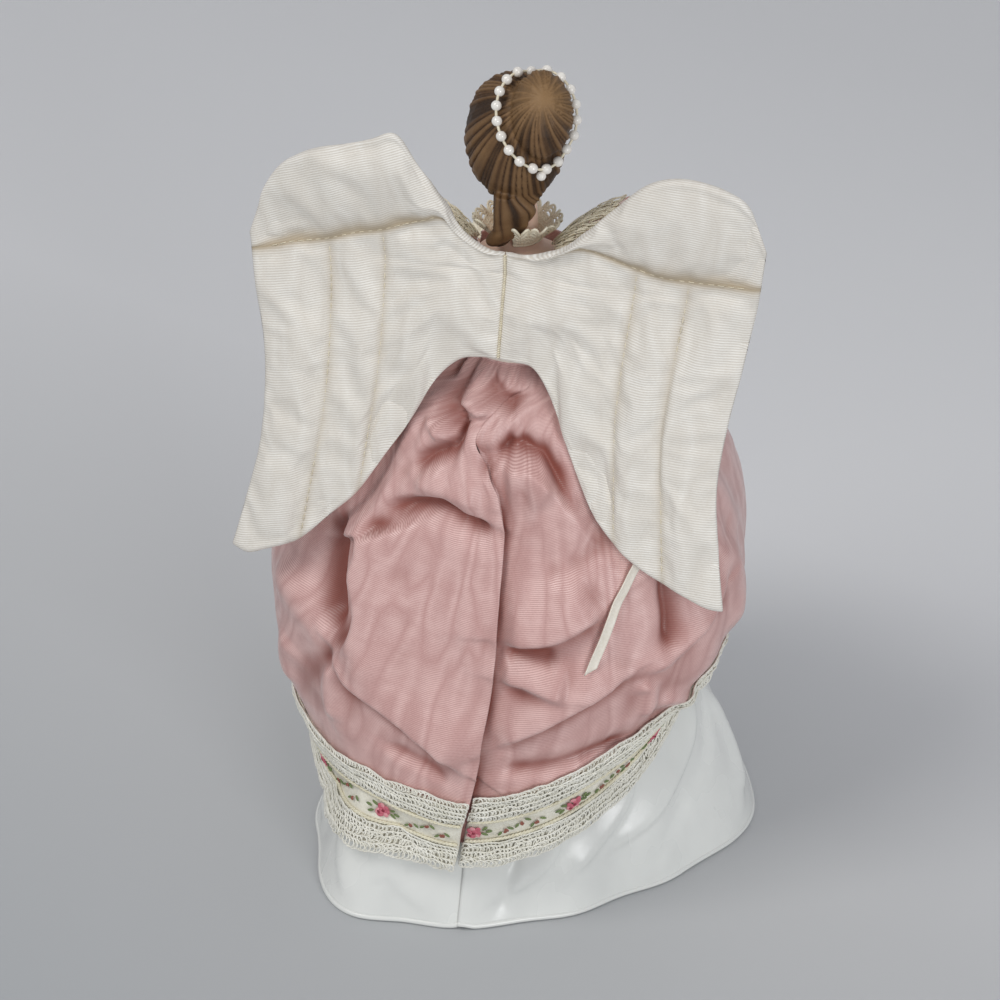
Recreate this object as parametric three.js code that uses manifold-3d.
// Angel tree topper with stuffed fabric wings, a puffed overskirt and a bisque head.
// Millimetres, +Z up. The figure faces -Y, its wings are at +Y and its left side is +X.
// The origin is at the middle of its base. Angles round the figure run from +Y (its back) towards +X.
import * as THREE from 'three';
import { mergeVertices } from 'three/addons/utils/BufferGeometryUtils.js';
import Module from 'manifold-3d';

const wasm = await Module();
wasm.setup();

// Clearances
const fitGap = 0.3;
const cutOverrun = 4;

// Cone that slips over the tip of the tree
const coneHeight = 165;
const coneBaseRadius = 50;
const coneTopRadius = 13.6;
const coneWall = 1.6;
const coneSides = 36;

// Torso form: it plugs into the cone, and its rings rise from the waist to the neckline
const waistRise = 21;
const waistHeight = coneHeight + waistRise;
const waistRadius = 15.5;
const torsoPlugDepth = 13;
const torsoHeight = 20;
const necklineHeight = 28;
const chestHalfWidth = 21.5;
const chestHalfDepth = 16;
const bodyBackset = 2;
const bodyShares = {
  height: [0, 0.25, 0.55, 0.75, 0.88, 1],
  width: [0, 0.5, 0.95, 1, 0.85, 0.4],
  depth: [0, 0.5, 1, 1, 1, 0.98],
};
const torsoSides = 20;
const bodiceThickness = 0.9;

// Skirts, from the inside out
const petticoatThickness = 0.6;
const petticoatHemHeight = 6;
const underskirtThickness = 0.8;
const underskirtTopDrop = 3;
const hemRadius = 72;
const hemRollThickness = 1.7;
const hemRollHeight = 2.5;
const hemRippleDepth = 0.9;
const hemRipples = 11;
const flarePower = 1.15;
const slitWidth = 0.8;
const underskirtColumns = 42;
const petticoatColumns = 28;
const petticoatSlack = 1.2;
const underskirtRowShares = [0, 0.2, 0.42, 0.62, 0.8, 0.92];
const petticoatRowShares = [0, 0.25, 0.5, 0.75, 1];
const hemShares = {
  degrees: [0, 14, 26, 40, 60, 100, 140, 180, 215, 246, 270, 290, 316, 335],
  reach: [0.975, 1.06, 1.16, 1.12, 1, 0.96, 1.04, 1.08, 1.05, 1.1, 1.03, 0.9, 0.85, 0.88],
};

// Overskirt: its puff, gathers, pleats and lower edge
const overskirtThickness = 1;
const puffRadius = 80;
const swagBackHeight = 32;
const swagRise = 34;
const gatherDepth = 1.3;
const gathers = 13;
const pleatDepth = 2.4;
const pleats = 6;
const pleatDriftDegrees = 70;
const overlapDegrees = 10;
const freeEdgeDegrees = -2;
const edgeGapDegrees = 0.8;
const underlapDepth = 2.6;
const underlapFadeDegrees = 26;
const overskirtColumns = 43;
const backCrowdShare = 0.35;
const overskirtRowShares = [0, 0.06, 0.14, 0.24, 0.34, 0.45, 0.56, 0.67, 0.78, 0.89, 1];
const puffShares = {
  drop: [0, 0.1, 0.2, 0.35, 0.5, 0.65, 0.8, 0.92, 1],
  left: [0, 0.46, 0.66, 0.87, 1.02, 1.08, 1.03, 0.91, 0.83],
  right: [0, 0.38, 0.56, 0.74, 0.84, 0.885, 0.845, 0.7, 0.575],
  back: [0, 0.265, 0.395, 0.51, 0.63, 0.72, 0.8, 0.835, 0.82],
  front: [0, 0.38, 0.575, 0.74, 0.85, 0.9, 0.9, 0.85, 0.8],
};
const foldShares = {
  room: 0.15,
  gatherIn: 0.05,
  gatherOut: 0.45,
  pleatIn: [0.1, 0.4],
  pleatOut: [0.75, 1],
  crossing: [0.12, 0.3],
  backIn: [0, 0.06],
  backOut: [0.86, 1],
};

// Folds across the back: how far each stands out, its widths over and under its line, and the line
const foldRadius = 62;
const foldEndShare = 0.2;
const foldTipShare = 0.25;
const foldLeanShare = 0.5;
const backDegrees = [48, 80];
const backPleatShare = 0.15;
const backFolds = [
  { out: 4.2, over: 4, under: 15, degrees: [43, 38, 31.5, 38], shares: [0.732, 0.645, 0.585, 0.489] },
  { out: -4.5, over: 9, under: 4, degrees: [51, 47, 43, 41], shares: [0.722, 0.634, 0.568, 0.525] },
  { out: 3, over: 6, under: 9, degrees: [67.5, 55.5, 39], shares: [0.572, 0.558, 0.492] },
  { out: 4.6, over: 14, under: 5, degrees: [39, 24.5, 6, -1], shares: [0.492, 0.435, 0.369, 0.339] },
  { out: -3.4, over: 7, under: 7, degrees: [37.5, 32, 17, -7], shares: [0.749, 0.776, 0.791, 0.762] },
  { out: 2.4, over: 8, under: 7, degrees: [29, 12.5, -1], shares: [0.825, 0.818, 0.804] },
  { out: -3.4, over: 7, under: 6, degrees: [-1, -14.5, -22.5, -33], shares: [0.864, 0.894, 0.888, 0.82] },
  { out: 3.4, over: 5, under: 9, degrees: [-6, -15.5, -28.5], shares: [0.858, 0.869, 0.831] },
  { out: 4.2, over: 14, under: 6, degrees: [-9, -20, -30], shares: [0.585, 0.594, 0.62] },
  { out: 3.2, over: 8, under: 6, degrees: [-9, -22, -28], shares: [0.517, 0.508, 0.497] },
  { out: 3.6, over: 10, under: 5, degrees: [-7.5, -22, -38], shares: [0.388, 0.443, 0.505] },
  { out: 3.2, over: 6, under: 5, degrees: [-46, -60.5, -78], shares: [0.525, 0.563, 0.667] },
  { out: -4, over: 5, under: 5, degrees: [30.5, 18, 17.5, 32.5], shares: [0.984, 0.917, 0.889, 0.842] },
  { out: 3.2, over: 5, under: 5, degrees: [38.5, 31.5, 22], shares: [0.978, 0.929, 0.896] },
  { out: 2.6, over: 8, under: 6, degrees: [-80, -88, -86], shares: [0.7, 0.59, 0.481] },
  { out: 2.6, over: 8, under: 6, degrees: [74, 80, 76], shares: [0.7, 0.579, 0.459] },
];
const swagShares = {
  degrees: [0, 25, 50, 80, 120, 180, 240, 280, 312, 335],
  rise: [0, 0.03, 0.05, 0.38, 0.8, 1, 1, 1, 0.62, 0.3],
};

// Woven trim over the lower edge of the overskirt
const trimWidth = 24;
const trimDrop = 6;
const trimThickness = 0.8;
const trimFlare = 1.5;
const trimRowShares = [0, 0.5, 1];

// Waistband and the narrow ribbon tied round it
const bandSides = 28;
const waistbandThickness = 1.2;
const waistbandHeight = 5.5;
const ribbonWidth = 3.2;
const ribbonThickness = 0.6;
const knotRadius = 2.6;
const knotDegrees = -60;
const ribbonTailThickness = 0.8;
const ribbonTailSteps = 40;
const ribbonTailPoints = [
  [-19, 11, 182.9],
  [-24.6, 13.5, 179.9],
  [-30.3, 16, 176.3],
  [-36.2, 18.8, 171.7],
  [-41.7, 21.7, 166],
  [-45.7, 24.8, 160],
  [-48.6, 28, 153.4],
  [-50.9, 31.9, 146.8],
  [-50.9, 35, 140.5],
  [-49.3, 37.4, 136],
  [-48.4, 39.9, 132.3],
  [-46.8, 42, 128.3],
  [-45.4, 44.5, 124.4],
  [-43.7, 46.4, 120.3],
  [-42.7, 49.1, 115.9],
  [-41.1, 52.1, 109.6],
  [-39.3, 54.7, 103.9],
  [-37.8, 56.9, 98.6],
];

// Head, neck and shoulder plate, in one casting
const neckX = 2.2;
const neckY = 1;
const neckRadius = 6.4;
const plateBase = waistHeight + torsoHeight + fitGap;
const plateHeight = 9.5;
const plateHalfWidth = 19.6;
const plateHalfDepth = 13.2;
const plateShares = {
  rise: [0, 0.4, 0.75, 1, 1.3],
  reach: [1, 0.89, 0.53, 0.16, 0],
  across: [0, 0, 0.5, 1, 1],
};
const headX = 3.2;
const headY = 0;
const headRise = 44.2;
const headZ = plateBase + headRise;
const skullHalfWidth = 13.5;
const skullHalfDepth = 16.4;
const skullHalfHeight = 18.6;
const headTurnDegrees = 32;
const jawHalfWidth = 10.6;
const jawHalfDepth = 11;
const jawHalfHeight = 10.5;
const jawForward = 5.2;
const jawDrop = 10.5;
const noseRadius = 1.9;
const noseLength = 3.6;

// Moulded hair with its bun and nape lock
const hairThickness = 1.9;
const faceOpeningRadius = 17;
const faceOpeningForward = 14.5;
const faceOpeningDrop = 6.5;
const bunTurnDegrees = 17;
const bunLeanDegrees = 31;
const bunAcross = 7.9;
const bunUp = 5;
const bunOut = 16;
const bunHalfWidth = 9.6;
const bunHalfHeight = 13.3;
const bunHalfDepth = 10;
const lockOffsets = [
  [-1.7, 11.4, -12.5],
  [-0.6, 10.9, -21.5],
  [1.5, 10, -30],
];
const lockRadii = [6.4, 5.6, 3.2];
const lockFlatShare = 0.62;

// Fused pearl strand round the bun
const pearlRadius = 1.6;
const pearlPitch = 4.6;
const pearlThreadRadius = 0.45;
const strandDepth = -4.5;

// Lace collar round the neck, open at the nape
const collarRise = 12.1;
const collarHeight = 7.6;
const collarSlack = 0.5;
const collarReach = 5.6;
const collarCurlPower = 1.3;
const collarLeanShare = 0.7;
const collarThickness = 0.8;
const collarRuffleDepth = 0.9;
const collarRuffles = 11;
const collarGapDegrees = 74;
const collarGapAtDegrees = 8;

// Shoulders, arms and hands
const leftShoulderRise = 22;
const rightShoulderRise = 28;
const shoulderY = 0.5;
const shoulderRoom = 3.3;
const sleeveInnerX = chestHalfWidth + fitGap + bodiceThickness + shoulderRoom;
const sleeveWidth = 20;
const sleevePuffRadius = 14.5;
const sleeveSides = 16;
const sleeveShares = {
  across: [0, 0.1, 0.32, 0.58, 0.82, 0.96, 1],
  radius: [0.5, 0.78, 1, 0.98, 0.78, 0.4, 0.2],
};
const forearmStart = [11, -4.5, -11];
const elbow = [13, -9.5, -19];
const wrist = [1, -36.5, -16];
const handTip = [-6, -53.5, -11];
const straightWrist = 12;
const upperSleeveRadius = 8.2;
const elbowRadius = 7;
const wristRadius = 4.4;
const cuffLength = 5;
const cuffFlareRadius = 7.4;
const cuffThickness = 0.7;
const cuffSnugShare = 0.84;
const palmHalfWidth = 3.8;
const palmHalfThickness = 2.2;
const thumbLength = 7;
const thumbRadius = 1.25;
const thumbRootShare = 0.42;
const thumbWayShares = [-0.7, -0.5, 0.5];
const palmShares = {
  along: [0, 0.25, 0.55, 0.8, 1],
  width: [0.95, 0.85, 1, 0.85, 0.35],
};
const armWireRadius = 0.8;
const armWireClearance = 0.25;
const armWireReach = 12;
const armWireSlope = 4;
const armWireSink = 1.2;
const armholeRadius = 9;
const leftRuffleInset = 9;
const rightRuffleInset = 15.5;
const ruffleOuterShare = 0.25;
const leftRuffleRadius = 5.5;
const rightRuffleRadius = 1.7;
const leftRuffleRise = 0.5;
const rightRuffleRise = 3.5;
const ruffleThickness = 0.7;
const ruffleHalfDegrees = 58;
const ruffleWaveDepth = 0.7;
const ruffleWaves = 5;
const arms = [
  {
    word: 'left',
    side: 1,
    height: waistHeight + leftShoulderRise,
    ruffleInset: leftRuffleInset,
    ruffleRadius: leftRuffleRadius,
    ruffleRise: leftRuffleRise,
  },
  {
    word: 'right',
    side: -1,
    height: waistHeight + rightShoulderRise,
    ruffleInset: rightRuffleInset,
    ruffleRadius: rightRuffleRadius,
    ruffleRise: rightRuffleRise,
  },
];

// Wings: outline points are shares of the half span and of the height, from the centre seam outwards
const leftWingSpan = 83.4;
const rightWingSpan = 81.4;
const wingHeight = 142;
const wingTipDrop = 69;
const wingTipHeight = waistHeight - wingTipDrop;
const wingSeamGap = 0.2;
const wingSeamThickness = 1.6;
const wingPadThickness = 6.2;
const wingChannelThickness = 4.2;
const wingEdgeThickness = 1.4;
const wingLeanShare = 0.29;
const wingLeanRise = 29;
const wingSwellPower = 3;
const wingFullRoomShare = 2;
const wingSkirtGap = 2.8;
const wingBackShare = 0.58;
const padRows = 6;
const channelRows = 11;
const leftWingShares = {
  across: [0, 0.08, 0.15, 0.235, 0.325, 0.41, 0.5, 0.61, 0.72, 0.79, 0.86, 0.93, 1],
  top: [0.739, 0.744, 0.775, 0.845, 0.92, 0.985, 0.968, 0.946, 0.925, 0.905, 0.875, 0.81, 0.69],
  crease: [0.732, 0.737, 0.764, 0.802, 0.79, 0.775, 0.755, 0.738, 0.716, 0.706, 0.696, 0.68, 0.667],
  bottom: [0.507, 0.504, 0.493, 0.44, 0.34, 0.262, 0.18, 0.113, 0.051, 0.03, 0.014, 0, 0.015],
  edgeIn: [1, 0.965, 0.92, 0.905, 0.915, 0.955, 1],
  seams: [6, 8],
};
const rightWingShares = {
  across: [0, 0.08, 0.15, 0.23, 0.31, 0.42, 0.53, 0.6, 0.67, 0.74, 0.84, 0.93, 1],
  top: [0.739, 0.742, 0.752, 0.775, 0.815, 0.88, 0.938, 0.958, 0.966, 0.964, 0.95, 0.915, 0.81],
  crease: [0.732, 0.735, 0.745, 0.764, 0.775, 0.762, 0.745, 0.736, 0.732, 0.732, 0.733, 0.734, 0.736],
  bottom: [0.507, 0.504, 0.495, 0.43, 0.335, 0.217, 0.151, 0.122, 0.1, 0.084, 0.062, 0.045, 0.045],
  edgeIn: [0.99, 0.965, 0.935, 0.9, 0.885, 0.915, 0.955],
  seams: [6, 9],
};

const radians = (degrees) => THREE.MathUtils.degToRad(degrees);

// Value of a table at x, along a smooth curve through its points
function along(xs, ys, x) {
  let i = 0;
  while (i < xs.length - 2 && x > xs[i + 1]) i += 1;
  const slope = (k) => {
    const a = Math.max(k - 1, 0);
    const b = Math.min(k + 1, xs.length - 1);
    return (ys[b] - ys[a]) / (xs[b] - xs[a]);
  };
  const width = xs[i + 1] - xs[i];
  const t = Math.min(Math.max((x - xs[i]) / width, 0), 1);
  const rise = t * t * (3 - 2 * t);
  const bend = t * (1 - t);
  return ys[i] + (ys[i + 1] - ys[i]) * rise
    + width * bend * (slope(i) * (1 - t) - slope(i + 1) * t);
}

// The same round a full turn
function round(degrees, ys, angle) {
  const last = degrees.length - 1;
  const xs = [degrees[last] - 360, ...degrees, degrees[0] + 360, degrees[1] + 360];
  const values = [ys[last], ...ys, ys[0], ys[1]];
  return along(xs, values, ((angle % 360) + 360) % 360);
}

const spread = (count) => Array.from({ length: count + 1 }, (_, i) => i / count);
const blendStep = (a, b, x) => THREE.MathUtils.smoothstep(x, a, b);

// A closed body from faces that index one list of points, with its faces out
function closedBody(points, faces) {
  let volume = 0;
  const [a, b, c] = [new THREE.Vector3(), new THREE.Vector3(), new THREE.Vector3()];
  for (const [i, j, k] of faces) {
    a.fromArray(points[i]);
    b.fromArray(points[j]);
    c.fromArray(points[k]);
    volume += a.dot(b.cross(c));
  }
  const index = volume < 0 ? faces.flatMap(([i, j, k]) => [i, k, j]) : faces.flat();
  const geometry = new THREE.BufferGeometry();
  geometry.setAttribute('position', new THREE.Float32BufferAttribute(points.flat(), 3));
  geometry.setIndex(index);
  geometry.computeVertexNormals();
  return geometry;
}

// Cloth with thickness: two grids of points, joined along their edges. A wrapped one closes on itself.
function cloth(outer, inner, wrapped = false) {
  const rows = outer.length;
  const columns = outer[0].length;
  const points = [...outer.flat(), ...inner.flat()];
  const at = (side, row, column) => side * rows * columns + row * columns + (column % columns);
  const faces = [];
  const quad = (p, q, r, s) => faces.push([p, q, r], [p, r, s]);
  const spans = wrapped ? columns : columns - 1;
  for (let i = 0; i < rows - 1; i += 1) {
    for (let j = 0; j < spans; j += 1) {
      quad(at(0, i, j), at(0, i + 1, j), at(0, i + 1, j + 1), at(0, i, j + 1));
      quad(at(1, i, j), at(1, i, j + 1), at(1, i + 1, j + 1), at(1, i + 1, j));
    }
  }
  for (let j = 0; j < spans; j += 1) {
    quad(at(0, 0, j), at(0, 0, j + 1), at(1, 0, j + 1), at(1, 0, j));
    quad(at(0, rows - 1, j), at(1, rows - 1, j), at(1, rows - 1, j + 1), at(0, rows - 1, j + 1));
  }
  if (!wrapped) {
    const end = columns - 1;
    for (let i = 0; i < rows - 1; i += 1) {
      quad(at(0, i, 0), at(1, i, 0), at(1, i + 1, 0), at(0, i + 1, 0));
      quad(at(0, i, end), at(0, i + 1, end), at(1, i + 1, end), at(1, i, end));
    }
  }
  return closedBody(points, faces);
}

// A solid through a stack of rings, with flat ends
function ringSolid(rings) {
  const sides = rings[0].length;
  const middle = (ring) => [0, 1, 2].map((k) => ring.reduce((sum, p) => sum + p[k], 0) / sides);
  const points = [...rings.flat(), middle(rings[0]), middle(rings[rings.length - 1])];
  const top = rings.length * sides;
  const faces = [];
  for (let j = 0; j < sides; j += 1) {
    const next = (j + 1) % sides;
    for (let i = 0; i < rings.length - 1; i += 1) {
      const a = i * sides;
      const b = a + sides;
      faces.push([a + j, a + next, b + next], [a + j, b + next, b + j]);
    }
    const last = (rings.length - 1) * sides;
    faces.push([top, next, j], [top + 1, last + j, last + next]);
  }
  return closedBody(points, faces);
}

// An oval ring at one height
function oval(height, halfWidth, halfDepth, centreX, centreY, sides) {
  return Array.from({ length: sides }, (_, i) => {
    const a = (2 * Math.PI * i) / sides;
    return [centreX + halfWidth * Math.sin(a), centreY + halfDepth * Math.cos(a), height];
  });
}

// A tapering limb along a smooth path through the given points
function limb(path, radii, steps, sides, flatten = 1) {
  const curve = new THREE.CatmullRomCurve3(path.map((p) => new THREE.Vector3(...p)));
  const shares = spread(radii.length - 1);
  const up = new THREE.Vector3(0, 0, 1);
  const rings = spread(steps).map((t) => {
    const centre = curve.getPointAt(t);
    const way = curve.getTangentAt(t);
    const side = new THREE.Vector3().crossVectors(way, up).normalize();
    const rise = new THREE.Vector3().crossVectors(side, way);
    const radius = along(shares, radii, t);
    return Array.from({ length: sides }, (_, i) => {
      const a = (2 * Math.PI * i) / sides;
      const point = centre.clone().addScaledVector(side, radius * Math.cos(a));
      return point.addScaledVector(rise, radius * flatten * Math.sin(a)).toArray();
    });
  });
  return ringSolid(rings);
}

// A round body turned about Z: [radius, height] points that close on themselves or end on the axis
function turned(profile, sides) {
  const points = profile.map(([r, h]) => new THREE.Vector2(r, h));
  return new THREE.LatheGeometry(points, sides).rotateX(Math.PI / 2);
}

function ellipsoid(halfWidth, halfDepth, halfHeight, sides, bands) {
  const geometry = new THREE.SphereGeometry(1, sides, bands).rotateX(Math.PI / 2);
  return geometry.scale(halfWidth, halfDepth, halfHeight);
}

// A straight round bar between two places
function bar(from, to, radius, sides) {
  const start = new THREE.Vector3(...from);
  const span = new THREE.Vector3(...to).sub(start);
  const geometry = new THREE.CylinderGeometry(radius, radius, span.length(), sides);
  const turn = new THREE.Quaternion().setFromUnitVectors(
    new THREE.Vector3(0, 1, 0),
    span.clone().normalize(),
  );
  geometry.applyQuaternion(turn);
  return geometry.translate(...start.addScaledVector(span, 1 / 2).toArray());
}

// Solids for cutting and joining
function solid(geometry) {
  const bare = geometry.clone();
  bare.deleteAttribute('normal');
  bare.deleteAttribute('uv');
  const merged = mergeVertices(bare, 1e-4);
  return new wasm.Manifold(new wasm.Mesh({
    numProp: 3,
    vertProperties: new Float32Array(merged.getAttribute('position').array),
    triVerts: new Uint32Array(merged.getIndex().array),
  }));
}

function geometryOf(body) {
  const mesh = body.getMesh();
  const geometry = new THREE.BufferGeometry();
  geometry.setAttribute('position', new THREE.BufferAttribute(mesh.vertProperties, 3));
  geometry.setIndex(new THREE.BufferAttribute(mesh.triVerts, 1));
  geometry.computeVertexNormals();
  return geometry;
}

const joined = (...bodies) => bodies.reduce((sum, body) => sum.add(body));

const finishes = {
  card: { color: 0xc9b79a, roughness: 0.9 },
  net: { color: 0xf1efe9, roughness: 0.9 },
  satin: { color: 0xf3f3f0, roughness: 0.35 },
  faille: { color: 0xd59a97, roughness: 0.55 },
  trim: { color: 0xeee7d4, roughness: 0.9 },
  ribbon: { color: 0xf0e8d2, roughness: 0.4 },
  stuffing: { color: 0xe9e4da, roughness: 0.95 },
  bisque: { color: 0xe9c3a8, roughness: 0.6 },
  hair: { color: 0x6f4f35, roughness: 0.7 },
  pearl: { color: 0xf1ede6, roughness: 0.2 },
  lace: { color: 0xf0ead6, roughness: 0.95 },
  sheer: { color: 0xead9d3, roughness: 0.9 },
  wire: { color: 0x8f9296, roughness: 0.4, metalness: 0.9 },
  wing: { color: 0xf0ebdc, roughness: 0.7 },
};

const angel = new THREE.Group();

function add(name, geometry, finish) {
  const mesh = new THREE.Mesh(geometry, new THREE.MeshStandardMaterial(finishes[finish]));
  mesh.name = name;
  angel.add(mesh);
  return mesh;
}

// Cone
const coneOuterAt = (z) => coneBaseRadius + ((coneTopRadius - coneBaseRadius) * z) / coneHeight;

function coneCore() {
  const profile = [
    [coneBaseRadius - coneWall, 0],
    [coneBaseRadius, 0],
    [coneTopRadius, coneHeight],
    [coneTopRadius - coneWall, coneHeight],
    [coneBaseRadius - coneWall, 0],
  ];
  return turned(profile, coneSides);
}

// Body line: half width, half depth and middle of the torso at a height above the waist
function bodyLine(rise) {
  const t = rise / necklineHeight;
  const { height, width, depth } = bodyShares;
  return {
    halfWidth: waistRadius + (chestHalfWidth - waistRadius) * along(height, width, t),
    halfDepth: waistRadius + (chestHalfDepth - waistRadius) * along(height, depth, t),
    middle: bodyBackset * along(height, depth, t),
  };
}

function bodyRing(rise, grow) {
  const line = bodyLine(rise);
  const z = waistHeight + rise;
  return oval(z, line.halfWidth + grow, line.halfDepth + grow, 0, line.middle, torsoSides);
}

function torsoForm() {
  const plugRadius = (z) => coneOuterAt(z) - coneWall - fitGap;
  const plugEnd = coneHeight - torsoPlugDepth;
  const rings = [
    oval(plugEnd, plugRadius(plugEnd), plugRadius(plugEnd), 0, 0, torsoSides),
    oval(coneHeight, plugRadius(coneHeight), plugRadius(coneHeight), 0, 0, torsoSides),
    oval(coneHeight + fitGap, plugRadius(coneHeight), plugRadius(coneHeight), 0, 0, torsoSides),
    oval(coneHeight + fitGap, waistRadius, waistRadius, 0, 0, torsoSides),
    ...spread(5).map((t) => bodyRing(t * torsoHeight, 0)),
  ];
  return solid(ringSolid(rings)).subtract(armWire(armWireClearance));
}

function bodice() {
  const top = necklineHeight;
  const bottom = waistbandHeight / 2 + fitGap;
  const rises = spread(5).map((t) => bottom + (top - bottom) * t);
  const outer = rises.map((rise) => bodyRing(rise, fitGap + bodiceThickness));
  const inner = rises.map((rise) => bodyRing(rise, fitGap));
  let shell = solid(cloth(outer, inner, true));
  for (const arm of arms) {
    const from = [arm.side * neckRadius, shoulderY, arm.height];
    const to = [arm.side * (chestHalfWidth + cutOverrun), shoulderY, arm.height];
    shell = shell.subtract(solid(bar(from, to, armholeRadius, sleeveSides)));
  }
  return shell.subtract(armWire(armWireClearance));
}

// Skirts
const petticoatWaist = waistRadius + fitGap + petticoatThickness;
const underskirtWaist = petticoatWaist + fitGap + underskirtThickness;
const overskirtWaist = underskirtWaist + fitGap + overskirtThickness;
const waistbandRadius = overskirtWaist + fitGap + waistbandThickness;
const underskirtTop = waistHeight - underskirtTopDrop;
const overskirtTopHeight = waistHeight - waistbandHeight / 2 - fitGap;

function underskirtRadius(angle, z, rippleDepth = hemRippleDepth) {
  const t = (underskirtTop - z) / underskirtTop;
  const reach = hemRadius * round(hemShares.degrees, hemShares.reach, angle);
  const fall = Math.max(t, 0) ** flarePower;
  const ripple = rippleDepth * fall * Math.cos(radians(angle * hemRipples));
  return underskirtWaist + (reach - underskirtWaist) * fall + ripple;
}

function place(radius, angle, z) {
  const a = radians(angle);
  return [radius * Math.sin(a), radius * Math.cos(a), z];
}

function underskirt() {
  const slit = THREE.MathUtils.radToDeg(slitWidth / hemRadius);
  const angles = spread(underskirtColumns).map((u) => slit / 2 + u * (360 - slit));
  const rollTop = hemRollHeight;
  const heights = underskirtRowShares.map((t) => underskirtTop * (1 - t));
  heights.push(2 * rollTop, rollTop, 0);
  const skin = (depthAt) => heights.map((z) => angles.map((angle) => (
    place(underskirtRadius(angle, z) - depthAt(z), angle, z))));
  const roll = (hemRollThickness - underskirtThickness) / 2;
  const inRoll = (z) => (z <= rollTop ? roll : 0);
  return cloth(skin((z) => -inRoll(z)), skin((z) => underskirtThickness + inRoll(z)));
}

// The net follows the underskirt without its ripples, a little way inside it
function petticoat() {
  const angles = spread(petticoatColumns).slice(0, -1).map((u) => u * 360);
  const fall = underskirtTop - petticoatHemHeight;
  const heights = petticoatRowShares.map((share) => underskirtTop - fall * share);
  const skin = (extra) => heights.map((z) => angles.map((angle) => {
    const slack = (petticoatSlack + hemRippleDepth) * blendStep(0, 1, 1 - z / underskirtTop);
    const inside = underskirtThickness + fitGap + slack;
    return place(underskirtRadius(angle, z, 0) - inside - extra, angle, z);
  }));
  return cloth(skin(0), skin(petticoatThickness), true);
}

// Wing plane: the middle of the wings leans back below the shoulders
const wingPlaneY = bodyBackset + chestHalfDepth + fitGap + bodiceThickness + fitGap
  + wingSeamThickness / 2;
const wingMiddleAt = (z) => wingPlaneY
  + wingLeanShare * Math.max(waistHeight + wingLeanRise - z, 0);

function swagHeight(angle) {
  return swagBackHeight + swagRise * round(swagShares.degrees, swagShares.rise, angle);
}

function puffReach(angle, t) {
  const a = radians(angle);
  const across = Math.sin(a) ** 2;
  const sides = Math.sin(a) > 0 ? puffShares.left : puffShares.right;
  const ends = Math.cos(a) > 0 ? puffShares.back : puffShares.front;
  return along(puffShares.drop, sides, t) * across
    + along(puffShares.drop, ends, t) * (1 - across);
}

const fromBack = (angle) => THREE.MathUtils.euclideanModulo(angle + 180, 360) - 180;

// One fold at one place: the nearest point of its line, then a bell of its two widths
function foldReach(fold, spot) {
  const line = fold.degrees.map((degrees, i) => new THREE.Vector2(
    radians(degrees) * foldRadius,
    fold.shares[i] * overskirtTopHeight,
  ));
  const nearest = { away: Infinity };
  for (let i = 0; i < line.length - 1; i += 1) {
    const way = line[i + 1].clone().sub(line[i]);
    const from = spot.clone().sub(line[i]);
    const t = THREE.MathUtils.clamp(from.dot(way) / way.lengthSq(), 0, 1);
    const off = from.sub(way.clone().multiplyScalar(t));
    if (off.length() < nearest.away) {
      const underSide = off.cross(way) * (way.x > way.y * foldLeanShare ? 1 : -1) > 0;
      nearest.away = off.length();
      nearest.width = underSide ? fold.under : fold.over;
      nearest.share = (i + t) / (line.length - 1);
    }
  }
  const inward = Math.min(nearest.share, 1 - nearest.share);
  const ends = foldTipShare + (1 - foldTipShare) * blendStep(0, foldEndShare, inward);
  return fold.out * ends * Math.exp(-((nearest.away / nearest.width) ** 2));
}

function backRelief(angle, z) {
  const spot = new THREE.Vector2(radians(fromBack(angle)) * foldRadius, z);
  return backFolds.reduce((sum, fold) => sum + foldReach(fold, spot), 0);
}

// Outer face of the overskirt where drop is 0 at the waist and 1 at its lower edge
function overskirtPoint(angle, drop, tuck, lift) {
  const z = overskirtTopHeight - drop * (overskirtTopHeight - swagHeight(angle));
  const a = radians(angle);
  const full = Math.min(drop, 1);
  const { room: roomAt, gatherIn, gatherOut, pleatIn, pleatOut } = foldShares;
  const gather = gatherDepth * Math.cos(a * gathers) * blendStep(0, gatherIn, full)
    * (1 - blendStep(gatherIn, gatherOut, full));
  const drift = radians(pleatDriftDegrees) * full;
  const pleat = pleatDepth * Math.cos(a * pleats + drift) * blendStep(...pleatIn, full)
    * (1 - blendStep(...pleatOut, full));
  const even = 1 - (1 - backPleatShare) * (1 - blendStep(...backDegrees, Math.abs(fromBack(angle))));
  const relief = backRelief(angle, z) * blendStep(...foldShares.backIn, full)
    * (1 - blendStep(...foldShares.backOut, full));
  const room = blendStep(0, roomAt, full);
  const puff = (puffRadius - overskirtWaist) * puffReach(angle, full);
  const least = underskirtRadius(angle, Math.min(z, underskirtTop)) + overskirtThickness + fitGap;
  const radius = Math.max(
    overskirtWaist + puff + (gather + pleat) * even + relief - tuck * room,
    least + (underlapDepth - tuck) * room,
  );
  const point = place(radius + lift, angle, z);
  const limit = wingMiddleAt(z) - wingPadThickness / 2 - wingSkirtGap;
  if (z > wingTipHeight && point[1] > limit + lift) {
    const held = blendStep(waistbandRadius, 2 * waistbandRadius, Math.abs(point[0]));
    point[1] += (limit + Math.min(lift, 0) - point[1]) * held;
  }
  return point;
}

const tuckAt = (u) => underlapDepth
  * (1 - blendStep(0, underlapFadeDegrees / 360, u - overlapDegrees / (360 + overlapDegrees)));

// Drops of the rows under the trim, from its upper edge to the skirt's own edge
function coveredDrops(angle) {
  const covered = (trimWidth - trimDrop) / (overskirtTopHeight - swagHeight(angle));
  return trimRowShares.map((share) => 1 - covered * (1 - share));
}

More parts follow.
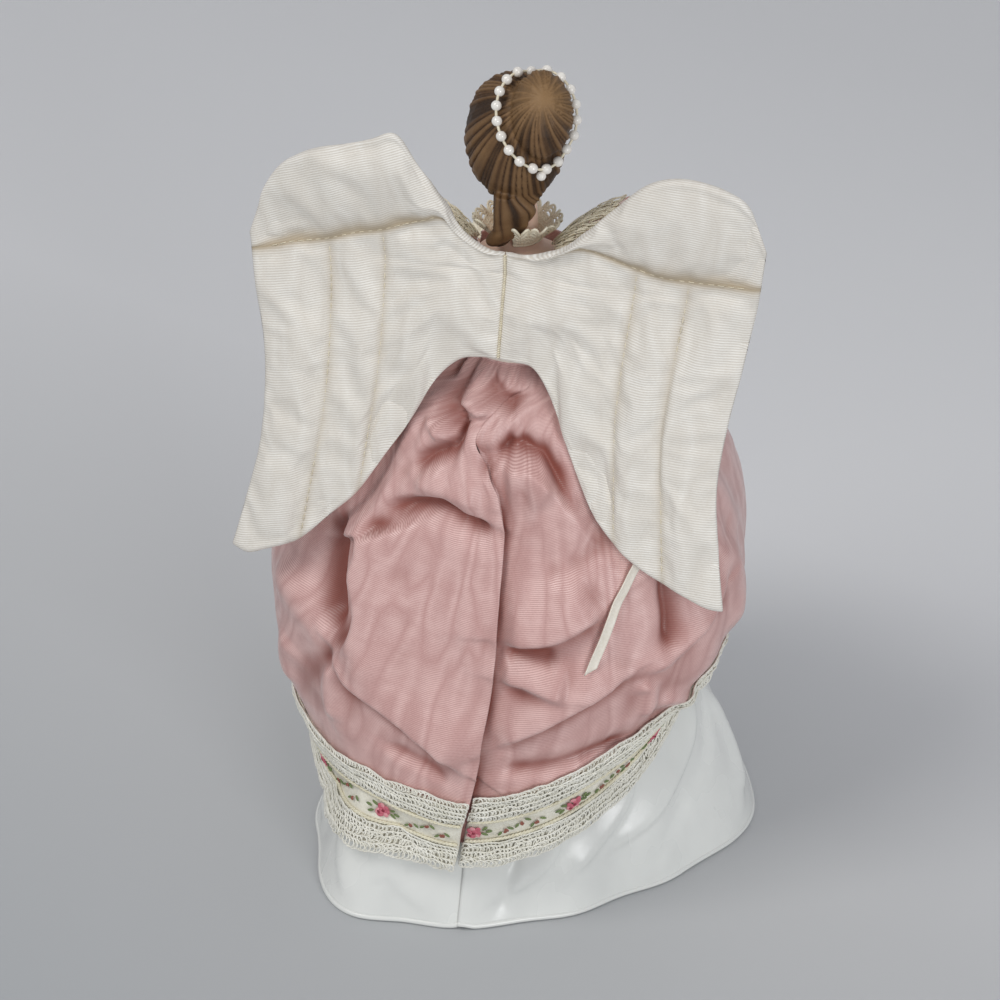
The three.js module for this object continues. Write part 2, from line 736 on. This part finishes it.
// The free edges meet at the waist and cross below it
function overskirtAngle(u, drop) {
  const whole = overlapDegrees + edgeGapDegrees;
  const crossing = whole * blendStep(...foldShares.crossing, drop) - edgeGapDegrees;
  return freeEdgeDegrees + crossing - u * (360 + crossing);
}

// The columns stand closer together at the back, where the cloth is folded most
const clothColumns = () => spread(overskirtColumns).map((u) => (
  u - backCrowdShare * Math.sin(2 * Math.PI * u) / (2 * Math.PI)));

function overskirt() {
  const columns = clothColumns();
  const drops = columns.map((u) => {
    const covered = coveredDrops(overskirtAngle(u, 1));
    return [...overskirtRowShares.map((share) => share * covered[0]), ...covered.slice(1)];
  });
  const bandTop = waistHeight + waistbandHeight / 2;
  const skin = (lift) => [
    columns.map((u) => place(overskirtWaist + lift, overskirtAngle(u, 0), bandTop)),
    ...drops[0].map((_, row) => columns.map((u, i) => {
      const drop = drops[i][row];
      return overskirtPoint(overskirtAngle(u, drop), drop, tuckAt(u), lift);
    })),
  ];
  return cloth(skin(0), skin(-overskirtThickness));
}

function hemTrim() {
  const start = overlapDegrees / (360 + overlapDegrees);
  const columns = clothColumns().filter((u) => u > start);
  const drops = columns.map((u) => {
    const angle = overskirtAngle(u, 1);
    return [...coveredDrops(angle), 1 + trimDrop / (overskirtTopHeight - swagHeight(angle))];
  });
  const skin = (lift) => drops[0].map((_, row) => columns.map((u, i) => {
    const drop = drops[i][row];
    const out = lift + (drop > 1 ? trimFlare : 0);
    return overskirtPoint(overskirtAngle(u, drop), drop, tuckAt(u), out);
  }));
  return cloth(skin(fitGap + trimThickness), skin(fitGap));
}

// Waistband, ribbon and knot
function band(innerRadius, thickness, height) {
  const half = height / 2;
  return turned([
    [innerRadius, -half],
    [innerRadius + thickness, -half],
    [innerRadius + thickness, half],
    [innerRadius, half],
    [innerRadius, -half],
  ], bandSides).translate(0, 0, waistHeight);
}

function waistRibbon() {
  const inner = waistbandRadius + fitGap;
  const loop = solid(band(inner, ribbonThickness, ribbonWidth));
  const knot = ellipsoid(knotRadius, knotRadius / 2, knotRadius, 10, 8);
  knot.rotateZ(radians(-knotDegrees));
  knot.translate(...place(inner + knotRadius / 2, knotDegrees, waistHeight));
  return geometryOf(joined(loop, solid(knot)));
}

function ribbonTail() {
  const half = ribbonWidth / 2;
  const thick = ribbonTailThickness / 2;
  const outline = [
    [half, thick / 2],
    [half / 2, thick],
    [-half / 2, thick],
    [-half, thick / 2],
    [-half, -thick / 2],
    [-half / 2, -thick],
    [half / 2, -thick],
    [half, -thick / 2],
  ];
  const section = new THREE.Shape(outline.map(([x, y]) => new THREE.Vector2(x, y)));
  const path = new THREE.CatmullRomCurve3(ribbonTailPoints.map((p) => new THREE.Vector3(...p)));
  return new THREE.ExtrudeGeometry(section, { steps: ribbonTailSteps, extrudePath: path });
}

// Head
function headSolid(grow) {
  const turn = radians(headTurnDegrees);
  const plate = plateShares.rise.map((rise, i) => {
    const reach = plateShares.reach[i];
    const halfWidth = neckRadius + (plateHalfWidth - neckRadius) * reach + grow;
    const halfDepth = neckRadius + (plateHalfDepth - neckRadius) * reach + grow;
    const z = plateBase + plateHeight * rise - (rise > 0 ? 0 : grow);
    return oval(z, halfWidth, halfDepth, neckX * plateShares.across[i], neckY, torsoSides);
  });
  plate.push(oval(headZ - jawDrop, neckRadius + grow, neckRadius + grow, headX, headY, torsoSides));
  const skull = ellipsoid(skullHalfWidth + grow, skullHalfDepth + grow, skullHalfHeight + grow,
    18, 12);
  const jaw = ellipsoid(jawHalfWidth + grow, jawHalfDepth + grow, jawHalfHeight + grow, 14, 10);
  jaw.translate(0, -jawForward, -jawDrop);
  const nose = ellipsoid(noseRadius + grow, noseRadius + grow, noseLength + grow, 8, 6);
  nose.translate(0, -skullHalfDepth, -noseLength);
  const parts = [skull, jaw, nose].map((geometry) => {
    geometry.rotateZ(turn);
    return solid(geometry.translate(headX, headY, headZ));
  });
  return joined(solid(ringSolid(plate)), ...parts);
}

// Directions of the bun: across it, up it and out of it
const bunTurn = new THREE.Matrix4().makeRotationZ(radians(bunTurnDegrees))
  .multiply(new THREE.Matrix4().makeRotationX(radians(bunLeanDegrees)));
const bunFrame = [new THREE.Vector3(), new THREE.Vector3(), new THREE.Vector3()];
bunTurn.extractBasis(...bunFrame);
const headMiddle = new THREE.Vector3(headX, headY, headZ);
const bunMiddle = headMiddle.clone()
  .addScaledVector(bunFrame[0], -bunAcross)
  .addScaledVector(bunFrame[2], bunUp)
  .addScaledVector(bunFrame[1], bunOut);

function hair() {
  const turn = radians(headTurnDegrees);
  const cap = ellipsoid(skullHalfWidth + hairThickness, skullHalfDepth + hairThickness,
    skullHalfHeight + hairThickness, 22, 14);
  cap.rotateZ(turn).translate(headX, headY, headZ);
  const face = ellipsoid(faceOpeningRadius, faceOpeningRadius, faceOpeningRadius, 18, 10);
  face.translate(0, -faceOpeningForward - skullHalfDepth / 2, -faceOpeningDrop);
  face.rotateZ(turn).translate(headX, headY, headZ);
  const bun = ellipsoid(bunHalfWidth, bunHalfDepth, bunHalfHeight, 16, 10);
  bun.applyMatrix4(bunTurn).translate(...bunMiddle.toArray());
  const route = lockOffsets.map(([x, y, z]) => [headX + x, headY + y, headZ + z]);
  const lock = limb(route, lockRadii, 5, 10, lockFlatShare);
  const mass = solid(cap).subtract(solid(face)).add(solid(bun)).add(solid(lock));
  return geometryOf(mass.subtract(headSolid(fitGap)));
}

// How far a point lies outside an ellipsoid, and which way is out
function seatOutside(point, middle, frame, halves, clearance) {
  const offset = point.clone().sub(middle);
  const parts = frame.map((axis, k) => offset.dot(axis) / (halves[k] + clearance));
  const reach = Math.hypot(...parts);
  if (reach >= 1) return;
  const way = new THREE.Vector3();
  frame.forEach((axis, k) => way.addScaledVector(axis, parts[k] / (halves[k] + clearance)));
  const depth = ((1 - reach) * reach) / way.length();
  point.addScaledVector(way.normalize(), depth);
}

function pearlStrand() {
  const clearance = pearlRadius + fitGap;
  const capFrame = [0, 1, 2].map(() => new THREE.Vector3());
  new THREE.Matrix4().makeRotationZ(radians(headTurnDegrees)).extractBasis(...capFrame);
  const capHalves = [skullHalfWidth, skullHalfDepth, skullHalfHeight].map((half) => (
    half + hairThickness));
  const bunHalves = [bunHalfWidth, bunHalfDepth, bunHalfHeight];
  const seat = (t) => {
    const a = 2 * Math.PI * t;
    const point = bunMiddle.clone()
      .addScaledVector(bunFrame[0], bunHalfWidth * Math.cos(a))
      .addScaledVector(bunFrame[2], bunHalfHeight * Math.sin(a))
      .addScaledVector(bunFrame[1], strandDepth);
    for (let k = 0; k < 40; k += 1) {
      seatOutside(point, bunMiddle, bunFrame, bunHalves, clearance);
      seatOutside(point, headMiddle, capFrame, capHalves, clearance);
    }
    return point;
  };
  const route = new THREE.CatmullRomCurve3(spread(60).slice(0, -1).map(seat), true);
  const count = Math.round(route.getLength() / pearlPitch);
  const centres = spread(count).slice(0, -1).map((t) => route.getPointAt(t));
  const pieces = centres.flatMap((centre, i) => {
    const next = centres[(i + 1) % centres.length];
    const bead = new THREE.SphereGeometry(pearlRadius, 7, 5).translate(...centre.toArray());
    return [bead, bar(centre.toArray(), next.toArray(), pearlThreadRadius, 4)];
  });
  return geometryOf(joined(...pieces.map(solid)));
}

// Lace collar
function collar() {
  const rows = spread(2);
  const turn = 360 - collarGapDegrees;
  const skin = (lift) => rows.map((row) => spread(4 * collarRuffles).map((u) => {
    const angle = collarGapAtDegrees + collarGapDegrees / 2 + u * turn;
    const inner = neckRadius + collarSlack + fitGap + collarThickness;
    const wave = collarRuffleDepth * row * Math.cos(2 * Math.PI * u * collarRuffles);
    const lean = row * collarLeanShare;
    const radius = inner + collarReach * row ** collarCurlPower + lift * (1 - lean);
    const z = plateBase + collarRise + collarHeight * row + wave - lift * lean;
    const [x, y] = place(radius, angle, 0);
    return [x + neckX, y + neckY, z];
  }));
  return cloth(skin(0), skin(-collarThickness));
}

// Arm wire: straight through each sleeve and bent down to cross the top of the torso
function armWire(grow) {
  const endX = sleeveInnerX + armWireReach;
  const bendX = sleeveInnerX - fitGap - 2 * armWireRadius;
  const dropX = sleeveInnerX - armWireSlope;
  const low = waistHeight + torsoHeight - armWireSink;
  const [left, right] = arms;
  const places = [
    [-endX, shoulderY, right.height],
    [-bendX, shoulderY, right.height],
    [-dropX, shoulderY, low],
    [dropX, shoulderY, low],
    [bendX, shoulderY, left.height],
    [endX, shoulderY, left.height],
  ];
  const bars = places.slice(1).map((to, i) => (
    solid(bar(places[i], to, armWireRadius + grow, 8))));
  const bends = places.slice(1, -1).map((at) => (
    solid(new THREE.SphereGeometry(armWireRadius + grow, 8, 4).translate(...at))));
  return joined(...bars, ...bends);
}

// Arm pieces are drawn from the inner end of the sleeve puff, as the left arm
const forearmWay = new THREE.Vector3(...handTip).sub(new THREE.Vector3(...wrist)).normalize();
const pastWrist = (distance) => new THREE.Vector3(...wrist)
  .addScaledVector(forearmWay, distance)
  .toArray();

function onSide(geometry, arm) {
  const placed = geometry.clone();
  if (arm.side < 0) {
    placed.scale(-1, 1, 1);
    const index = placed.getIndex();
    for (let i = 0; i < index.count; i += 3) {
      const first = index.getX(i);
      index.setX(i, index.getX(i + 1));
      index.setX(i + 1, first);
    }
    placed.computeVertexNormals();
  }
  return placed.translate(arm.side * sleeveInnerX, shoulderY, arm.height);
}

// Sleeve: a puff turned about the arm wire, and the lower sleeve that grows out of it
function sleeve() {
  const bore = armWireRadius + armWireClearance;
  const { across, radius } = sleeveShares;
  const profile = across.map((share, i) => [sleevePuffRadius * radius[i], share * sleeveWidth]);
  const puff = turned([[bore, 0], ...profile, [bore, sleeveWidth], [bore, 0]], sleeveSides);
  puff.rotateY(Math.PI / 2);
  const path = [forearmStart, elbow, pastWrist(-straightWrist), wrist];
  const lower = limb(path, [upperSleeveRadius, elbowRadius, wristRadius], 8, 12);
  const hole = bar([-cutOverrun, 0, 0], [armWireReach + fitGap, 0, 0], bore, 12);
  return geometryOf(solid(puff).add(solid(lower)).subtract(solid(hole)));
}

function cuff() {
  const inner = wristRadius * cuffSnugShare + fitGap;
  const profile = [
    [inner, 0],
    [inner + cuffThickness, 0],
    [cuffFlareRadius, cuffLength],
    [cuffFlareRadius - cuffThickness, cuffLength],
    [inner, 0],
  ];
  const turn = new THREE.Quaternion().setFromUnitVectors(new THREE.Vector3(0, 0, 1), forearmWay);
  const geometry = turned(profile, 14).applyQuaternion(turn);
  return mergeVertices(geometry.translate(...pastWrist(fitGap)));
}

function hand() {
  const reach = new THREE.Vector3(...handTip).distanceTo(new THREE.Vector3(...wrist));
  const path = palmShares.along.map((share) => pastWrist(fitGap + share * (reach - fitGap)));
  const radii = palmShares.width.map((share) => palmHalfWidth * share);
  const palm = solid(limb(path, radii, 7, 10, palmHalfThickness / palmHalfWidth));
  const root = pastWrist(reach * thumbRootShare);
  const tip = root.map((value, k) => value + thumbLength * thumbWayShares[k]);
  return geometryOf(palm.add(solid(bar(root, tip, thumbRadius, 7))));
}

// Lace over each shoulder, round the same line as the sleeve puff, drawn as the left one
function shoulderRuffle(arm) {
  const outerX = sleeveWidth * ruffleOuterShare;
  const puffThere = sleevePuffRadius + arm.ruffleRise;
  const skin = (lift) => spread(3).map((row) => spread(3 * ruffleWaves).map((u) => {
    const a = radians(ruffleHalfDegrees * (2 * u - 1));
    const wave = ruffleWaveDepth * row * (1 + Math.cos(Math.PI * u * ruffleWaves * 2));
    const radius = arm.ruffleRadius + (puffThere - arm.ruffleRadius) * row + wave + lift;
    const x = (outerX + arm.ruffleInset) * row - arm.ruffleInset;
    return [x, radius * Math.sin(a), radius * Math.cos(a)];
  }));
  return cloth(skin(ruffleThickness), skin(0));
}

// Wings
function wing(side, halfSpan, shares) {
  const { across, top, crease, bottom, edgeIn, seams } = shares;
  const heightAt = (list, u) => wingTipHeight + wingHeight * along(across, list, u);
  const edgeShares = spread(edgeIn.length - 1);
  const swell = (t) => 1 - Math.abs(2 * t - 1) ** wingSwellPower;
  const bounds = [0, ...seams, across.length - 1];
  const rowList = [
    ...spread(padRows).map((t) => ({ pad: true, t })),
    ...spread(channelRows).slice(1).map((t) => ({ pad: false, t })),
  ];
  const point = (u, column, { pad, t }, face) => {
    const high = heightAt(pad ? top : crease, u);
    const low = heightAt(pad ? crease : bottom, u);
    const z = high + (low - high) * t;
    const whole = (heightAt(top, u) - z) / (heightAt(top, u) - heightAt(bottom, u));
    const x = wingSeamGap + u * (halfSpan * along(edgeShares, edgeIn, whole) - wingSeamGap);
    let span = bounds.findIndex((bound, k) => k > 0 && column <= bound);
    span = pad ? [0, across.length - 1] : [bounds[span - 1], bounds[span]];
    const inSpan = (u - across[span[0]]) / (across[span[1]] - across[span[0]]);
    const least = u === 0 ? wingSeamThickness : wingEdgeThickness;
    const most = pad ? wingPadThickness : wingChannelThickness;
    const room = Math.min(1, (high - low) / (most * wingFullRoomShare));
    const fat = least + (most - least) * swell(inSpan) * swell(t) * room;
    const share = face > 0 ? wingBackShare : 1 - wingBackShare;
    return [side * x, wingMiddleAt(z) + face * fat * share, z];
  };
  const skin = (face) => rowList.map((row) => across.map((u, column) => (
    point(u, column, row, face))));
  return cloth(skin(1), skin(-1));
}

add('cone_core', coneCore(), 'card');
add('torso_form', geometryOf(torsoForm()), 'stuffing');
add('petticoat', petticoat(), 'net');
add('underskirt', underskirt(), 'satin');
add('overskirt', overskirt(), 'faille');
add('hem_trim', hemTrim(), 'trim');
add('waistband', band(overskirtWaist + fitGap, waistbandThickness, waistbandHeight), 'faille');
add('waist_ribbon', waistRibbon(), 'ribbon');
add('ribbon_tail', ribbonTail(), 'ribbon');
add('bodice', geometryOf(bodice()), 'faille');
add('bisque_head', geometryOf(headSolid(0).subtract(armWire(armWireClearance))), 'bisque');
add('moulded_hair', hair(), 'hair');
add('pearl_strand', pearlStrand(), 'pearl');
add('neck_collar', collar(), 'lace');
add('arm_wire', geometryOf(armWire(0)), 'wire');
for (const arm of arms) {
  add(`sleeve_${arm.word}`, onSide(sleeve(), arm), 'sheer');
  add(`cuff_lace_${arm.word}`, onSide(cuff(), arm), 'lace');
  add(`hand_${arm.word}`, onSide(hand(), arm), 'bisque');
  add(`shoulder_ruffle_${arm.word}`, onSide(shoulderRuffle(arm), arm), 'sheer');
}
add('wing_left', wing(1, leftWingSpan, leftWingShares), 'wing');
add('wing_right', wing(-1, rightWingSpan, rightWingShares), 'wing');

export default angel;
